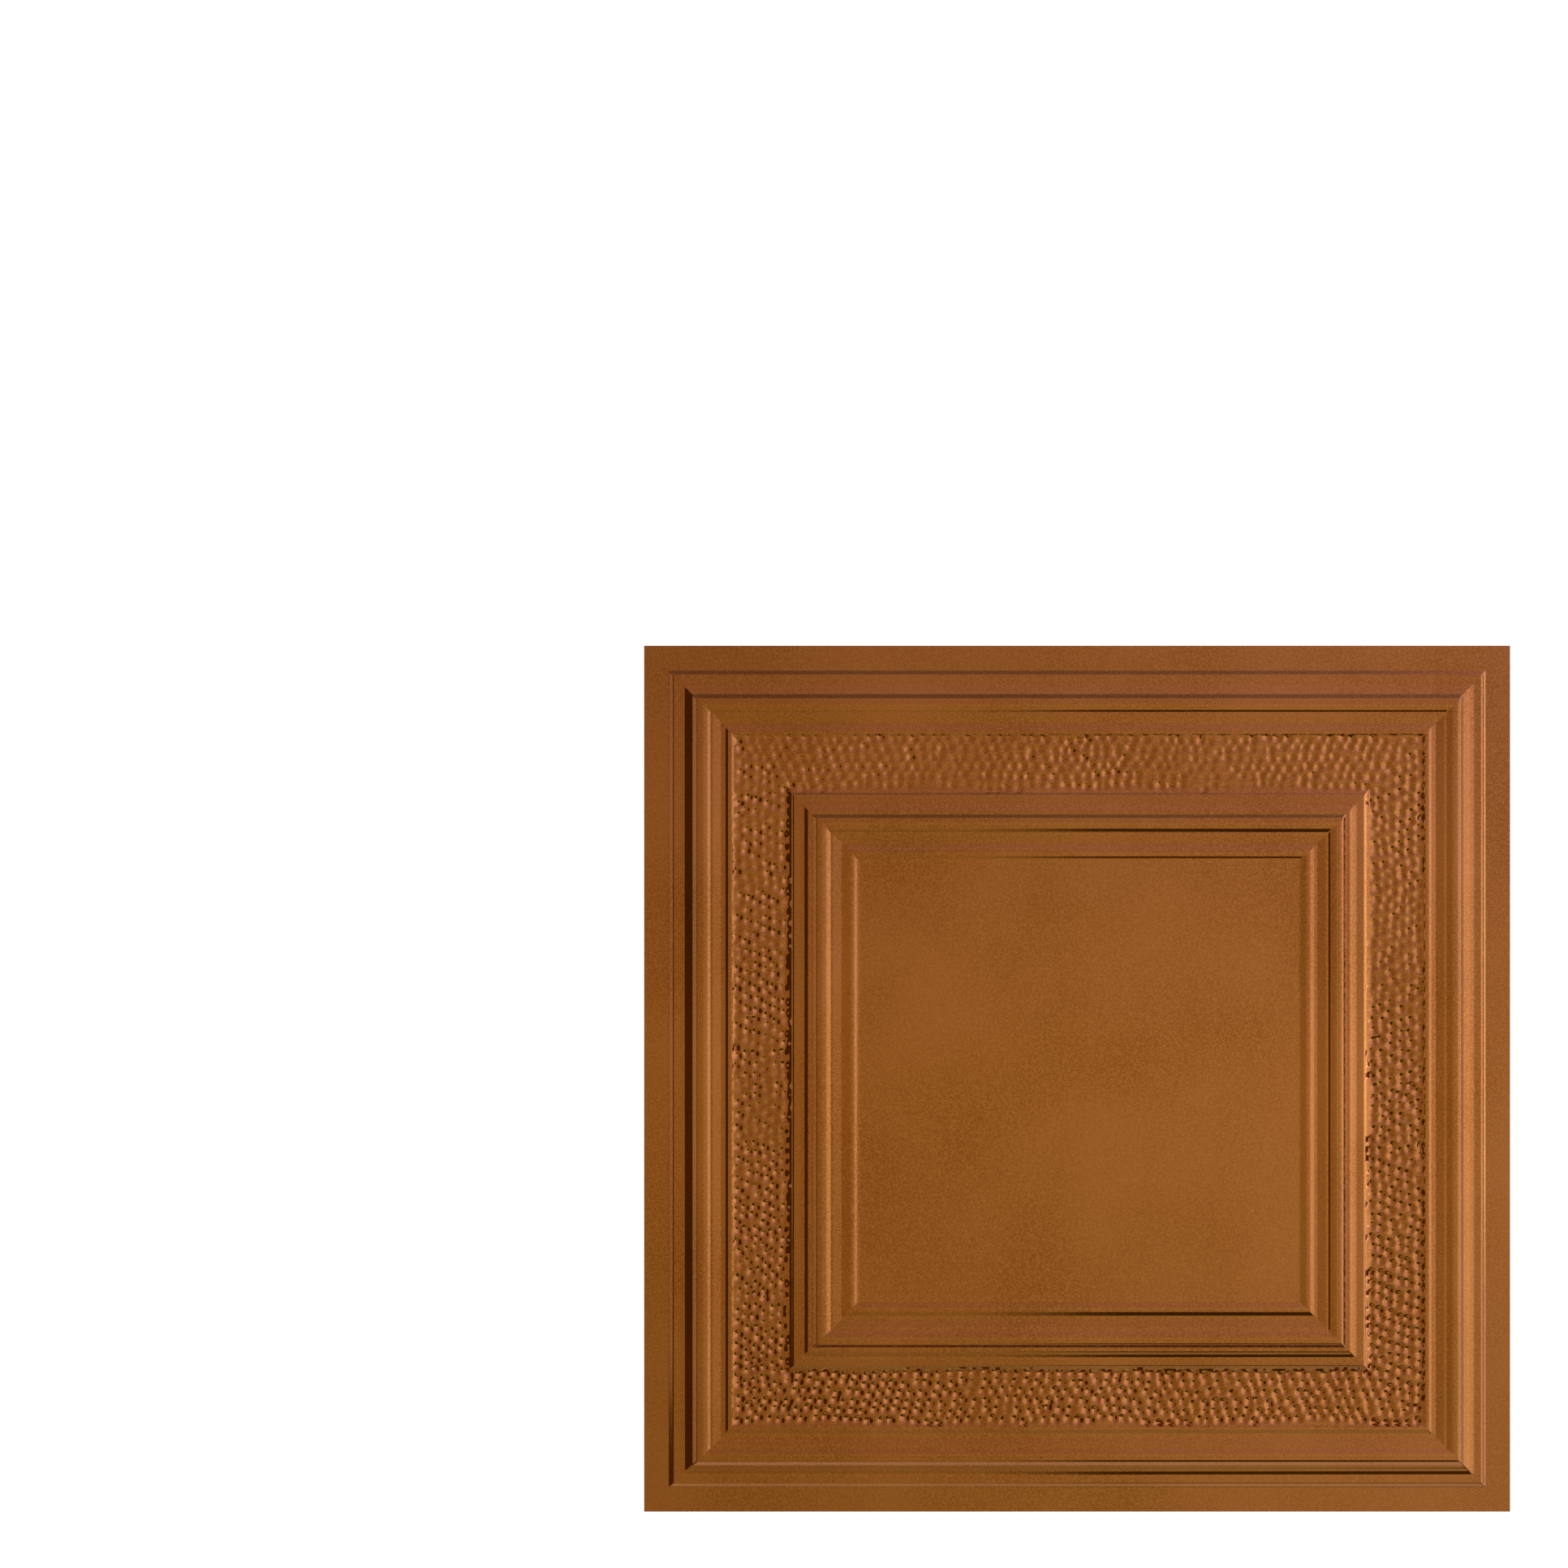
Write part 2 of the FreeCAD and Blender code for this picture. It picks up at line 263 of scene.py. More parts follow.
def section_line(sheet, mouldings, arc_step):
    """The face in section: (distance in from the edge, height) from the edge to the centre panel."""
    points = [(0.0, sheet.thickness), (sheet.flange_width, sheet.thickness)]
    for side in ("outer", "inner"):
        sizes = mouldings[side]
        for name, change, form, *_ in MOULDING:
            run = getattr(sizes, f"{name}_run")
            height = 0.0 if change == "level" else getattr(sizes, f"{name}_height")
            rise = -height if change == "fall" else height
            points += stretch_points(points[-1], run, rise, form, arc_step)
        if side == "outer":
            points.append((points[-1][0] + sheet.band_width, points[-1][1]))
    return points


def stretch_points(start, run, rise, form, arc_step):
    """The points that one stretch adds after its start."""
    end = (start[0] + run, start[1] + rise)
    if form == "line":
        return [end]
    radius = (run * run + rise * rise) / (2 * abs(rise))
    sweep = math.asin(min(1.0, run / radius))
    count = max(3, round(sweep / arc_step))
    up = math.copysign(1.0, rise)
    added = []
    for i in range(1, count + 1):
        angle = sweep * i / count if form == "out of level" else sweep * (1 - i / count)
        inwards = radius * math.sin(angle)
        upwards = up * radius * (1 - math.cos(angle))
        if form == "out of level":
            added.append((start[0] + inwards, start[1] + upwards))
        else:
            added.append((end[0] - inwards, end[1] - upwards))
    return added


def soften(points, proud_radius, hollow_radius, sharp=math.radians(6), guard=0.25 * MM):
    """Round each fold of the section, and keep the flats beside it flat with a point close by."""
    # A fold takes at most this share of the stretches beside it. A stretch this many times as long as
    # what the fold takes and the guard gets the point that keeps it flat.
    most_cut = 0.4
    long_enough = 4
    soft = [points[0]]
    for before, here, after in zip(points, points[1:], points[2:]):
        way_in = numpy.subtract(here, before)
        way_out = numpy.subtract(after, here)
        length_in, length_out = numpy.hypot(*way_in), numpy.hypot(*way_out)
        turn = math.atan2(way_in[0] * way_out[1] - way_in[1] * way_out[0], numpy.dot(way_in, way_out))
        radius = hollow_radius if turn > 0 else proud_radius
        turn = abs(turn)
        if turn < sharp:
            soft.append(here)
            continue
        cut = min(radius * math.tan(turn / 2), most_cut * length_in, most_cut * length_out)
        first = here - way_in / length_in * cut
        last = here + way_out / length_out * cut
        if length_in > long_enough * (cut + guard):
            soft.append(tuple(first - way_in / length_in * guard))
        for share in (0.0, 0.25, 0.5, 0.75, 1.0):
            a = first + (numpy.array(here) - first) * share
            b = numpy.array(here) + (last - here) * share
            soft.append(tuple(a + (b - a) * share))
        if length_out > long_enough * (cut + guard):
            soft.append(tuple(last + way_out / length_out * guard))
    soft.append(points[-1])
    return soft


def back_of(points, thickness):
    """The back of the sheet in section: the press keeps the thickness as measured straight up."""
    return [(depth, height - thickness) for depth, height in points]


class Skin:
    """One surface of the sheet: mitred rings, with a fine grid where the hammered band is."""

    def __init__(self, half_side, section, fine_from, fine_to, step, guard, faces_up):
        self.half_side = half_side
        self.guard = guard
        self.faces_up = faces_up
        self.vertices = []
        self.faces = []
        depths = [point[0] for point in section]
        heights = [point[1] for point in section]
        self.height_at = lambda depth: float(numpy.interp(depth, depths, heights))
        outer_rings = [self.ring(*point) for point in section if point[0] < fine_from]
        inner_rings = [self.ring(*point) for point in section if point[0] > fine_to]
        fine_depths = self.fine_depths(section, fine_from, fine_to, step)
        outside, inside = self.fine_band(fine_depths, step)
        self.join_rings(outer_rings)
        self.zip_rings(outer_rings[-1], outside)
        self.zip_rings(inside, inner_rings[0])
        self.join_rings(inner_rings)
        self.fill_centre(inner_rings[-1], section[-1])
        self.rim = outer_rings[0]

    def add_vertex(self, x, y, z):
        self.vertices.append((x, y, z))
        return len(self.vertices) - 1

    def add_face(self, *corners):
        self.faces.append(corners if self.faces_up else corners[::-1])

    def ring(self, depth, height):
        """Four rows of vertices round the tile, one a side, each row ending where the next begins."""
        half = self.half_side - depth
        along = (-half, -half + self.guard, half - self.guard)
        rows = []
        for side in range(4):
            rows.append([self.add_vertex(*turned(side, half, t), height) for t in along])
        return [row + [rows[(side + 1) % 4][0]] for side, row in enumerate(rows)]

    def join_rings(self, rings):
        for outer, inner in zip(rings, rings[1:]):
            for outer_row, inner_row in zip(outer, inner):
                for i in range(len(outer_row) - 1):
                    self.add_face(outer_row[i], outer_row[i + 1], inner_row[i + 1], inner_row[i])

    def zip_rings(self, outer, inner):
        """Triangles between two rings whose rows have different numbers of vertices."""
        for side, (outer_row, inner_row) in enumerate(zip(outer, inner)):
            outer_share = self.shares(side, outer_row)
            inner_share = self.shares(side, inner_row)
            i = j = 0
            while i < len(outer_row) - 1 or j < len(inner_row) - 1:
                outer_next = outer_share[i + 1] if i < len(outer_row) - 1 else math.inf
                inner_next = inner_share[j + 1] if j < len(inner_row) - 1 else math.inf
                if outer_next <= inner_next:
                    self.add_face(outer_row[i], outer_row[i + 1], inner_row[j])
                    i += 1
                else:
                    self.add_face(outer_row[i], inner_row[j + 1], inner_row[j])
                    j += 1

    def shares(self, side, row):
        """How far along its side each vertex of a row lies, from -1 to 1."""
        along = [turned(-side, *self.vertices[i][:2])[1] for i in row]
        return [t / abs(along[0]) for t in along]

    def fine_depths(self, section, fine_from, fine_to, step):
        """Depths of the fine grid's lines: the section's own points, and more where they are far apart."""
        closest = 0.4 * step
        slack = 0.01
        own = [fine_from] + [p[0] for p in section if fine_from < p[0] < fine_to] + [fine_to]
        kept = [own[0]]
        for depth in own[1:]:
            if depth - kept[-1] > closest or depth == own[-1]:
                kept.append(depth)
        depths = [kept[0]]
        for depth in kept[1:]:
            count = max(1, math.ceil((depth - depths[-1]) / step - slack))
            depths += list(numpy.linspace(depths[-1], depth, count + 1)[1:])
        return depths

    def fine_band(self, depths, step):
        """A square ring of small cells whose lines run along both axes. Returns its two borders."""
        halves = [self.half_side - depth for depth in depths]
        inner_half = halves[-1]
        middle = numpy.linspace(-inner_half, inner_half, round(2 * inner_half / step) + 1)[1:-1]
        lines = [-half for half in halves] + list(middle) + halves[::-1]
        last = len(lines) - 1
        border = len(halves) - 1
        index = {}
        for i, x in enumerate(lines):
            for j, y in enumerate(lines):
                if border < i < last - border and border < j < last - border:
                    continue
                height = self.height_at(self.half_side - max(abs(x), abs(y)))
                index[i, j] = self.add_vertex(x, y, height)
        for i in range(last):
            for j in range(last):
                if border <= i < last - border and border <= j < last - border:
                    continue
                a, b, c, d = index[i, j], index[i + 1, j], index[i + 1, j + 1], index[i, j + 1]
                if i == j:
                    self.add_face(a, b, c)
                    self.add_face(a, c, d)
                elif i + j == last - 1:
                    self.add_face(a, b, d)
                    self.add_face(b, c, d)
                else:
                    self.add_face(a, b, c, d)
        return self.border_rows(index, 0, last), self.border_rows(index, border, last - border)

    def border_rows(self, index, low, high):
        forward = list(range(low, high + 1))
        backward = forward[::-1]
        return [[index[high, k] for k in forward], [index[k, high] for k in backward],
                [index[low, k] for k in backward], [index[k, low] for k in forward]]

    def fill_centre(self, ring, end):
        """The flat centre panel, as three by three faces."""
        half = self.half_side - end[0] - self.guard
        corner = [self.add_vertex(*turned(side, half, -half), end[1]) for side in range(4)]
        for side in range(4):
            row = ring[side]
            before = ring[side - 1]
            here, after = corner[side], corner[(side + 1) % 4]
            self.add_face(row[1], row[2], after, here)
            self.add_face(before[2], row[0], row[1], here)
        self.add_face(*corner)


def turned(side, x, y):
    """A point turned by a quarter turn for each side."""
    for _ in range(side % 4):
        x, y = -y, x
    return x, y


def join_skins(face, back):
    """One closed mesh from the face, the back and the sheet's cut edge."""
    vertices = face.vertices + back.vertices
    shift = len(face.vertices)
    faces = face.faces + [tuple(i + shift for i in corners) for corners in back.faces]
    for face_row, back_row in zip(face.rim, back.rim):
        for i in range(len(face_row) - 1):
            faces.append((face_row[i], back_row[i] + shift, back_row[i + 1] + shift, face_row[i + 1]))
    mesh = bpy.data.meshes.new("pressed_skin")
    mesh.from_pydata(vertices, [], faces)
    mesh.validate()
    mesh.update()
    return mesh


def add_node(tree, kind, inputs=(), **settings):
    """One node with its settings. Its inputs are given in order, or by name or number. Each is a value,
    or an output that is linked to it. A node stands for its first output."""
    node = tree.nodes.new(kind)
    for name, value in settings.items():
        setattr(node, name, value)
    given = inputs if isinstance(inputs, dict) else dict(enumerate(inputs))
    for name, value in given.items():
        if isinstance(value, bpy.types.Node):
            value = value.outputs[0]
        if isinstance(value, bpy.types.NodeSocket):
            tree.links.new(value, node.inputs[name])
        else:
            node.inputs[name].default_value = value
    return node


def hammering_tree():
    """Geometry Nodes that press rows of round marks into the band, below its flat."""
    tree = bpy.data.node_groups.new("hammering", "GeometryNodeTree")
    tree.interface.new_socket("Geometry", in_out="OUTPUT", socket_type="NodeSocketGeometry")
    for kind, names in (("Geometry", ["Geometry"]),
                        ("Int", ["Rows", "Seed"]),
                        ("Float", ["First row", "Row gap", "Pitch", "Pit radius", "Pit depth", "Depth spread",
                                   "Depth slant", "Tilt", "Scatter", "Drift", "Rolling", "Band outside",
                                   "Band inside", "Fade"]),
                        ("Material", ["Finish"])):
        for name in names:
            tree.interface.new_socket(name, in_out="INPUT", socket_type=f"NodeSocket{kind}")
    given = tree.nodes.new("NodeGroupInput").outputs
    add = partial(add_node, tree)
    marks = marks_in_rows(add, given)
    position = add("GeometryNodeInputPosition")
    in_plan = add(VECTORS, [position, (1.0, 1.0, 0.0)], operation="MULTIPLY")
    x, y, _ = add(PARTS, [in_plan]).outputs
    noises = []
    for size_mm, detail, dimensions in ((DRIFT_SIZE_MM, 0.0, "3D"), (MARK_SIZE_MM, 0.0, "3D"),
                                        (REGION_SIZE_MM, 0.0, "3D"), (ROLLING_SIZE_MM, 1.0, "2D")):
        inputs = {"Vector": in_plan, "Scale": 1 / (size_mm * MM), "Detail": detail}
        noises.append(add("ShaderNodeTexNoise", inputs, noise_dimensions=dimensions))
    drift_noise, mark_noise, region_noise, rolling_noise = noises

    wander = add(VECTORS, [drift_noise.outputs["Color"], (0.5, 0.5, 0.5)], operation="SUBTRACT")
    furthest = add(VECTOR, [given["Drift"], given["Drift"], 0.0])
    drift = add(VECTORS, [wander, furthest], operation="MULTIPLY")
    aim = add(VECTORS, [in_plan, drift], operation="ADD")
    nearest = add("GeometryNodeProximity", {"Geometry": marks, "Sample Position": aim},
                  target_element="POINTS").outputs

    both_noises = add(MATHS, [mark_noise, region_noise], operation="ADD")
    centred = add(MATHS, [both_noises, 1.0], operation="SUBTRACT")
    stretched = add(MATHS, [centred, NOISE_STRETCH], operation="MULTIPLY")
    unequal = add(MATHS, [stretched, given["Depth spread"]], operation="MULTIPLY")
    to_front = add(MATHS, [y, -1.0], operation="MULTIPLY")
    front_share = add(MATHS, [to_front, given["Band outside"]], operation="DIVIDE")
    slant = add(MATHS, [front_share, given["Depth slant"]], operation="MULTIPLY")
    uneven = add(MATHS, [unequal, slant], operation="ADD")
    level = add(MATHS, [1.0, uneven], operation="ADD")
    never_proud = add(MATHS, [0.0, level], operation="MAXIMUM")
    limited = add(MATHS, [MOST_DEPTH, never_proud], operation="MINIMUM")
    depth = add(MATHS, [given["Pit depth"], limited], operation="MULTIPLY")

    from_middle = add(VECTORS, [aim, nearest["Position"]], operation="SUBTRACT")
    to_right = add(PARTS, [from_middle]).outputs["X"]
    right_share = add(MATHS, [to_right, given["Pit radius"]], operation="DIVIDE")
    tilt = add(MATHS, [given["Tilt"], right_share], operation="MULTIPLY")
    tilt_level = add(MATHS, [1.0, tilt], operation="ADD")
    tilted = add(MATHS, [depth, tilt_level], operation="MULTIPLY")
    out_share = add(MATHS, [nearest["Distance"], given["Pit radius"]], operation="DIVIDE")
    squared = add(MATHS, [out_share, out_share], operation="MULTIPLY")
    bowl = add(MATHS, [1.0, squared], operation="SUBTRACT")
    cup = add(MATHS, [0.0, bowl], operation="MAXIMUM")
    soft_cup = add(MATHS, [cup, cup], operation="MULTIPLY")
    pit = add(MATHS, [tilted, soft_cup], operation="MULTIPLY")

    waves = add(MATHS, [rolling_noise, 0.5], operation="SUBTRACT")
    rolling = add(MATHS, [waves, given["Rolling"]], operation="MULTIPLY")
    relief = add(MATHS, [rolling, pit], operation="SUBTRACT")
    normal = add("GeometryNodeInputNormal")
    upwards = add(PARTS, [normal]).outputs["Z"]
    on_back = add(MATHS, [upwards, 0.0], operation="LESS_THAN")
    lower = add(MATHS, [on_back, BACK_LOWER_MM * MM], operation="MULTIPLY")
    change = add(MATHS, [relief, lower], operation="SUBTRACT")

    out_in_x = add(MATHS, [x], operation="ABSOLUTE")
    out_in_y = add(MATHS, [y], operation="ABSOLUTE")
    out = add(MATHS, [out_in_x, out_in_y], operation="MAXIMUM")
    past_outside = add(MATHS, [given["Band outside"], given["Fade"]], operation="ADD")
    before_inside = add(MATHS, [given["Band inside"], given["Fade"]], operation="SUBTRACT")
    outer_fade = add(RANGE, [out, given["Band outside"], past_outside, 1.0, 0.0],
                     interpolation_type="SMOOTHSTEP")
    inner_fade = add(RANGE, [out, before_inside, given["Band inside"], 0.0, 1.0],
                     interpolation_type="SMOOTHSTEP")
    in_band = add(MATHS, [outer_fade, inner_fade], operation="MULTIPLY")
    height = add(MATHS, [change, in_band], operation="MULTIPLY")
    offset = add(VECTOR, [0.0, 0.0, height])
    pressed = add("GeometryNodeSetPosition", {"Geometry": given["Geometry"], "Offset": offset})
    real = add("GeometryNodeRealizeInstances", {"Geometry": pressed})
    finished = add("GeometryNodeSetMaterial", {"Geometry": real, "Material": given["Finish"]})
    add("NodeGroupOutput", [finished])
    return tree


def marks_in_rows(add, given):
    """The middles of the marks, as points: staggered rows along one side, turned to the other three."""
    number = add("GeometryNodeInputIndex")
    first_length = add(MATHS, [given["First row"], 2.0], operation="MULTIPLY")
    first_places = add(MATHS, [first_length, given["Pitch"]], operation="DIVIDE")
    most_in_row = add(MATHS, [first_places], operation="CEIL")
    side_count = add(MATHS, [most_in_row, given["Rows"]], operation="MULTIPLY")
    rows_done = add(MATHS, [number, most_in_row], operation="DIVIDE")
    row = add(MATHS, [rows_done], operation="FLOOR")
    row_start = add(MATHS, [row, most_in_row], operation="MULTIPLY")
    place = add(MATHS, [number, row_start], operation="SUBTRACT")
    inwards = add(MATHS, [row, given["Row gap"]], operation="MULTIPLY")
    row_half = add(MATHS, [given["First row"], inwards], operation="SUBTRACT")
    row_length = add(MATHS, [row_half, 2.0], operation="MULTIPLY")
    row_places = add(MATHS, [row_length, given["Pitch"]], operation="DIVIDE")
    in_row = add(MATHS, [row_places], operation="ROUND")
    row_pitch = add(MATHS, [row_length, in_row], operation="DIVIDE")
    odd_row = add(MATHS, [row, 2.0], operation="MODULO")
    stagger = add(MATHS, [odd_row, 0.5], operation="MULTIPLY")
    staggered = add(MATHS, [place, stagger], operation="ADD")
    from_row_end = add(MATHS, [staggered, row_pitch], operation="MULTIPLY")
    along = add(MATHS, [from_row_end, row_half], operation="SUBTRACT")
    spot = add(VECTOR, [row_half, along, 0.0])
    points = add("GeometryNodePoints", {"Count": side_count, "Position": spot})
    last_place = add(MATHS, [in_row, 0.5], operation="SUBTRACT")
    spare = add("FunctionNodeCompare", [place, last_place], data_type="FLOAT", operation="GREATER_THAN")
    one_side = add("GeometryNodeDeleteGeometry", {"Geometry": points, "Selection": spare}, domain="POINT")
    corners = add("GeometryNodePoints", {"Count": 4})
    angle = add(MATHS, [number, math.pi / 2], operation="MULTIPLY")
    quarter = add(VECTOR, [0.0, 0.0, angle])
    turned_sides = {"Points": corners, "Instance": one_side, "Rotation": quarter}
    four_sides = add("GeometryNodeInstanceOnPoints", turned_sides)
    in_place = add("GeometryNodeRealizeInstances", {"Geometry": four_sides})
    span = {"Min": (-1.0, -1.0, 0.0), "Max": (1.0, 1.0, 0.0), "Seed": given["Seed"]}
    stray = add("FunctionNodeRandomValue", span, data_type="FLOAT_VECTOR")
    furthest = add(VECTOR, [given["Scatter"], given["Scatter"], 0.0])
    offset = add(VECTORS, [stray, furthest], operation="MULTIPLY")
    return add("GeometryNodeSetPosition", {"Geometry": in_place, "Offset": offset})


def hammered(piece, tree, values):
    """Run the hammering on a piece, keep its result as a plain mesh and remove the modifier."""
    modifier = piece.modifiers.new("hammering", "NODES")
    modifier.node_group = tree
    for item in tree.interface.items_tree:
        if item.item_type == "SOCKET" and item.in_out == "INPUT" and item.name in values:
            modifier[item.identifier] = values[item.name]
    evaluated = piece.evaluated_get(bpy.context.evaluated_depsgraph_get())
    mesh = bpy.data.meshes.new_from_object(evaluated)
    piece.modifiers.clear()
    piece.data = mesh


def start_material(name):
    """A new material with no nodes, and add_node for its tree."""
    material = bpy.data.materials.new(name)
    material.use_nodes = True
    material.node_tree.nodes.clear()
    return material, partial(add_node, material.node_tree)


def antique_copper(colours):
    """Antique copper lacquer baked on pressed tinplate: a satin metal face with fine flakes in it,
    faint clouds where the coat is thicker, and a slight orange peel."""
    cloud_size_mm, flake_size_mm, peel_size_mm = 110.0, 1.3, 2.5
    peel_height_mm, peel_strength = 0.1, 0.08
    smoothest, roughest = 0.05, 0.1
    material, add = start_material("antique_copper_lacquer_on_tinplate")
    place = add("ShaderNodeTexCoord").outputs["Object"]
    noises = []
    for size_mm, detail, roughness in ((cloud_size_mm, 2.0, 0.5), (flake_size_mm, 1.0, 0.6),
                                       (peel_size_mm, 2.0, 0.5)):
        inputs = {"Vector": place, "Scale": 1 / (size_mm * MM), "Detail": detail, "Roughness": roughness}
        noises.append(add("ShaderNodeTexNoise", inputs))
    cloud_noise, flake_noise, peel_noise = noises
    clouds = add(RANGE, [cloud_noise, 0.35, 0.65])
    flakes = add(RANGE, [flake_noise, 0.35, 0.75])
    main_coat = {MIX_SHARE: clouds, MIX_FIRST: (*colours.shade, 1.0), MIX_SECOND: (*colours.copper, 1.0)}
    coat = add("ShaderNodeMix", main_coat, data_type="RGBA").outputs[MIX_RESULT]
    with_flakes = {MIX_SHARE: flakes, MIX_FIRST: coat, MIX_SECOND: (*colours.grain, 1.0)}
    coat = add("ShaderNodeMix", with_flakes, data_type="RGBA").outputs[MIX_RESULT]
    peel = add("ShaderNodeBump", {
        "Height": peel_noise,
        "Strength": peel_strength,
        "Distance": peel_height_mm * MM,
    })
    shader = add("ShaderNodeBsdfPrincipled", {
        "Base Color": coat,
        "Metallic": 1.0,
        "Roughness": add(RANGE, [flakes, 0.0, 1.0, smoothest, roughest]),
        "Coat Weight": 0.08,
        "Coat Roughness": 0.08,
        "Normal": peel,
    })
    add("ShaderNodeOutputMaterial", {"Surface": shader})
    return material


def link(name, mesh):
    """A new object with this mesh, linked to the scene."""
    made = bpy.data.objects.new(name, mesh)
    bpy.context.scene.collection.objects.link(made)
    return made


class TILE_OT_press_sheet(Operator):
    """Make the pressed sheet with its hammer marks and copper finish"""
    bl_idname = "tile.press_sheet"
    bl_label = "Press the sheet"

    def execute(self, context):
        scene = context.scene
        sheet, hammer = scene.tile_sheet, scene.tile_hammer
        outer, inner = scene.tile_outer_moulding, scene.tile_inner_moulding
        mouldings = {"outer": outer, "inner": inner}
        half_side = SHEET_HIGH[0]
        outer_width = sum(getattr(outer, f"{row[0]}_run") for row in MOULDING)
        band_from = sheet.flange_width + outer_width
        band_to = band_from + sheet.band_width
        fine_from = band_from - outer.foot_run - FINE_OVER_SHOULDER * outer.shoulder_run
        fine_to = band_to + inner.toe_run + inner.riser_run + FINE_OVER_FASCIA * inner.fascia_run
        face_line = self.soft_line(sheet, mouldings, FACE_ARC_STEP)
        back_line = back_of(self.soft_line(sheet, mouldings, BACK_ARC_STEP), sheet.thickness)
        face = Skin(half_side, face_line, fine_from, fine_to, sheet.face_step, sheet.mitre_softness, True)
        back = Skin(half_side, back_line, fine_from, fine_to, sheet.back_step, sheet.mitre_softness, False)
        piece = link("pressed_sheet_skin", join_skins(face, back))
        rows_width = sheet.band_width - hammer.outer_margin - hammer.inner_margin
        hammered(piece, hammering_tree(), {
            "Rows": hammer.rows,
            "First row": half_side - band_from - hammer.outer_margin,
            "Row gap": rows_width / max(1, hammer.rows - 1),
            "Pitch": hammer.pitch,
            "Pit radius": hammer.pit_radius,
            "Pit depth": hammer.pit_depth,
            "Depth spread": hammer.depth_spread,
            "Depth slant": hammer.depth_slant,
            "Tilt": hammer.tilt,
            "Scatter": hammer.scatter,
            "Drift": hammer.drift,
            "Rolling": hammer.rolling,
            "Band outside": half_side - band_from,
            "Band inside": half_side - band_to - MARKS_OVER_TOE * inner.toe_run,
            "Fade": FADE_MM * MM,
            "Seed": hammer.seed,
            "Finish": antique_copper(scene.tile_finish),
        })
        self.shade(piece.data, half_side)
        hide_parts(SHEET_NODE)
        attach(piece, "root")
        return {"FINISHED"}

    def soft_line(self, sheet, mouldings, arc_step):
        return soften(section_line(sheet, mouldings, arc_step), sheet.proud_radius, sheet.hollow_radius)

    def shade(self, mesh, half_side):
        """Smooth shading, but with the cut edge of the sheet sharp."""
        edge_from = half_side - 0.01 * MM
        for polygon in mesh.polygons:
            polygon.use_smooth = True
        at_edge = [max(abs(v.co.x), abs(v.co.y)) > edge_from for v in mesh.vertices]
        for edge in mesh.edges:
            edge.use_edge_sharp = all(at_edge[i] for i in edge.vertices)


def tent_cloth():
    """Cloth that only gives light: a cool softbox on the right, dark cloth on the left, plain warm cloth
    overhead and beyond, and a dark screen low down between the softbox and the camera."""
    material, add = start_material("tent_cloth")
    place = add("ShaderNodeTexCoord").outputs["Object"]
    way = add(VECTORS, [place], operation="NORMALIZE")
    to_the_right, to_the_back, _ = add(PARTS, [way]).outputs
    lights = []
    screens = []
    for part, light, screen in ((to_the_right, LIGHT_ACROSS, SCREEN_ACROSS),
                                (to_the_back, LIGHT_TO_THE_BACK, SCREEN_TO_THE_BACK)):
        lean = add(MATHS, [part], operation="ARCSINE")
        lean_share = add(RANGE, [lean, -math.pi / 2, math.pi / 2])
        lights.append(add("ShaderNodeValToRGB", [lean_share]))
        screens.append(add("ShaderNodeValToRGB", [lean_share]))
        set_stops(lights[-1].color_ramp, light)
        set_stops(screens[-1].color_ramp, screen)
    both_lights = {MIX_SHARE: 1.0, MIX_FIRST: lights[0], MIX_SECOND: lights[1]}
    light = add("ShaderNodeMix", both_lights, data_type="RGBA", blend_type="MULTIPLY").outputs[MIX_RESULT]
    screen = add(VECTORS, screens, operation="MULTIPLY")
    taken = [-part for part in SCREEN_TAKES]
    left_over = add(VECTORS, [screen, taken, (1.0, 1.0, 1.0)], operation="MULTIPLY_ADD")
    shaded = add(VECTORS, [light, left_over], operation="MULTIPLY")
    level = add(VECTORS, {0: shaded, "Scale": TENT_LEVEL}, operation="SCALE")
    emission = add("ShaderNodeEmission", {"Color": level, "Strength": 1.0})
    add("ShaderNodeOutputMaterial", {"Surface": emission})
    # The tent is all round the tile, so reflected rays find it without being aimed at it.
    material.cycles.emission_sampling = "NONE"
    return material


def set_stops(ramp, table):
    """Give a colour ramp the rows of a table of leans: 0 is one horizon, 0.5 overhead and 1 the other."""
    while len(ramp.elements) < len(table):
        ramp.elements.new(0.5)
    for element, (degrees, level) in zip(ramp.elements, table):
        element.position = 0.5 + degrees / 180
        element.color = (*level, 1.0) if isinstance(level, tuple) else (level, level, level, 1.0)


